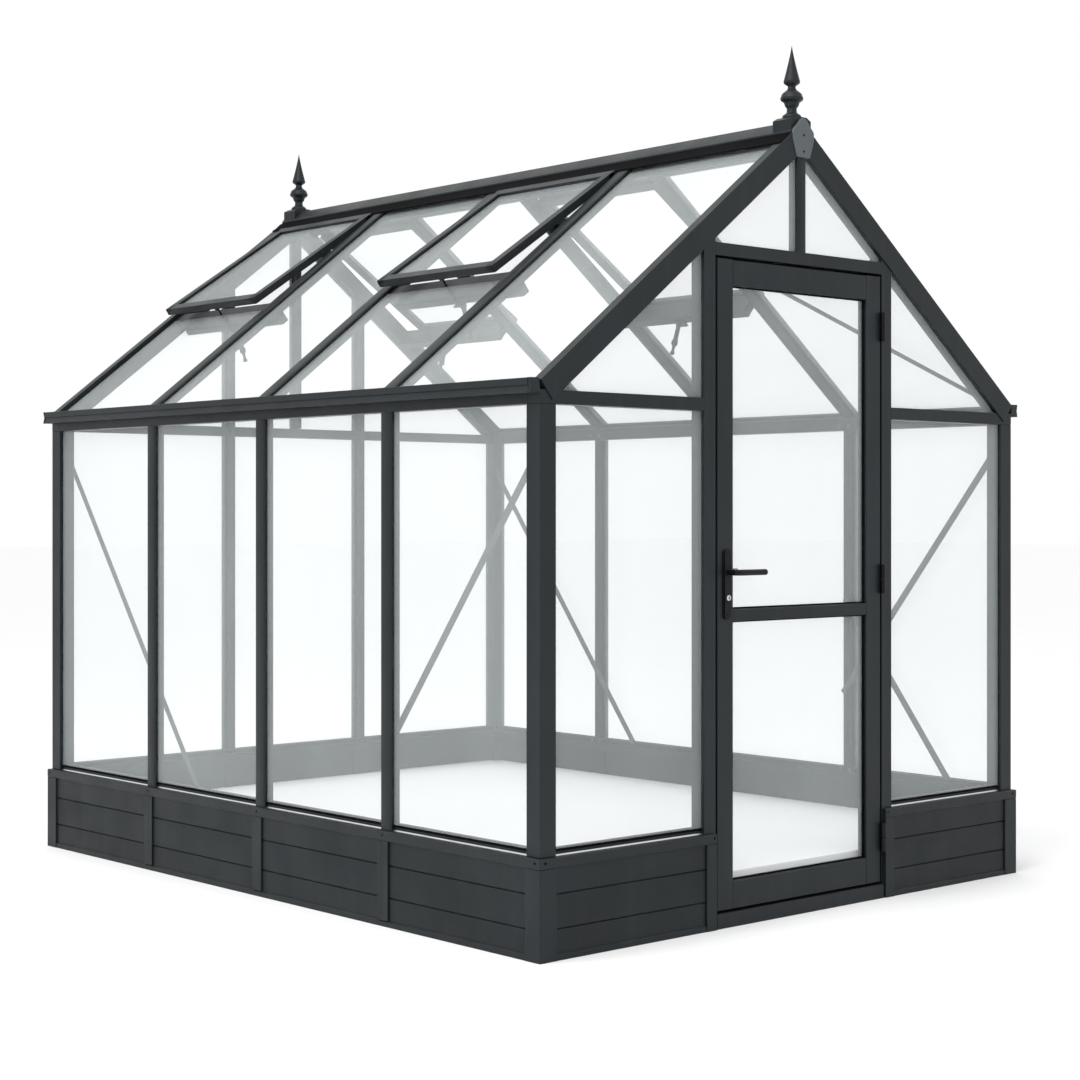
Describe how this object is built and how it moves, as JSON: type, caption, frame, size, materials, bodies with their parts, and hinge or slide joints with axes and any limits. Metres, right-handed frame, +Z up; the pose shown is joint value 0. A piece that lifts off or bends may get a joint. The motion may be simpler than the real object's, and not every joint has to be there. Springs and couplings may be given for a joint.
{
  "type": "glass greenhouse",
  "caption": "Apex greenhouse in dark aluminium and clear glass on a low panelled plinth, with a hinged door, raised roof vents, gutters and finials.",
  "frame": {"origin": "on the ground under the middle of the house", "axes": "+Z up, the door gable faces -Y, +X to the right seen from the door"},
  "size_m": [2.116, 2.677, 2.5553],
  "materials": {
    "frame": "satin powder coat, anthracite grey",
    "brace": "satin powder coat",
    "fitting": "satin black",
    "steel": "brushed",
    "glass": "clear float glass with a slight cool tint"
  },
  "bodies": {
    "house": {"base_rails": "frame", "plinth_corner_posts": "frame", "plinth_strips": "frame", "plinth_panel_left": "frame", "plinth_panel_right": "frame", "plinth_panel_rear": "frame", "plinth_panels_front": "frame", "plinth_cap_sides": "frame", "plinth_cap_ends": "frame", "sill_rails": "frame", "corner_posts": "frame", "wall_bars": "frame", "rear_posts": "frame", "door_posts": "frame", "threshold": "frame", "lintel": "frame", "eave_rails": "frame", "gable_rails": "frame", "gutters": "frame", "gable_rafters_left": "frame", "gable_rafters_right": "frame", "gable_mullions": "frame", "roof_bars": "frame", "ridge": "frame", "apex_plates": "frame", "finials": "frame", "side_wall_glass": "glass", "end_wall_glass": "glass", "gable_glass": "glass", "roof_glass_left": "glass", "roof_glass_right": "glass", "wall_braces": "brace", "roof_brace": "brace", "vent_sills": "frame", "vent_stiles": "frame", "vent_rails": "frame", "vent_glass": "glass", "vent_openers": "fitting", "hinge_frame_leaves": "fitting"},
    "door": {"door_stiles": "frame", "door_rails": "frame", "door_glass": "glass", "hinge_door_leaves": "fitting", "door_backplates": "fitting", "lock_cylinder": "steel"},
    "lever": {"lever": "fitting"}
  },
  "joints": [
    {"name": "door_hinge", "type": "hinge", "parent": "house", "child": "door", "pos_m": [0.361, -1.3165, 0.95], "axis": [0, 0, 1], "range_deg": [0, 110]},
    {"name": "lever_turn", "type": "hinge", "parent": "door", "child": "lever", "pos_m": [-0.321, -1.291, 1.007], "axis": [0, 1, 0], "range_deg": [0, 40], "stiffness_Nm_per_rad": 0.6}
  ]
}
